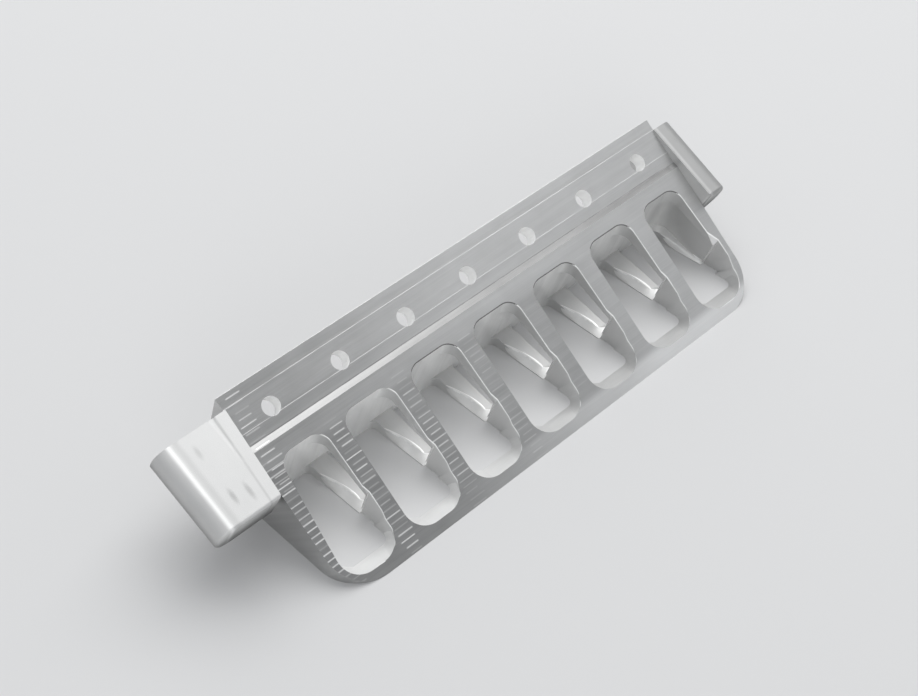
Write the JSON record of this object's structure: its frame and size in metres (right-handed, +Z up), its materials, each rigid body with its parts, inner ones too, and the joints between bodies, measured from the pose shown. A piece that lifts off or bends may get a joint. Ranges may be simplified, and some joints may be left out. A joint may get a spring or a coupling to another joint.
{
  "type": "comb bracket",
  "caption": "Wedge-shaped metal bracket with a drilled rail, a row of through bays under a sloping face, and a lug at each end.",
  "frame": {"origin": "under the middle of the bounding box, on the surface the bracket rests on", "axes": "+X along the row of bays, +Y towards the drilled rail, +Z up"},
  "size_m": [0.0994, 0.028, 0.019],
  "materials": {
    "machined_aluminium": "satin, with fine milling marks on the faces and blasted lugs"
  },
  "bodies": {
    "root": {"bracket": "machined_aluminium"}
  },
  "joints": []
}
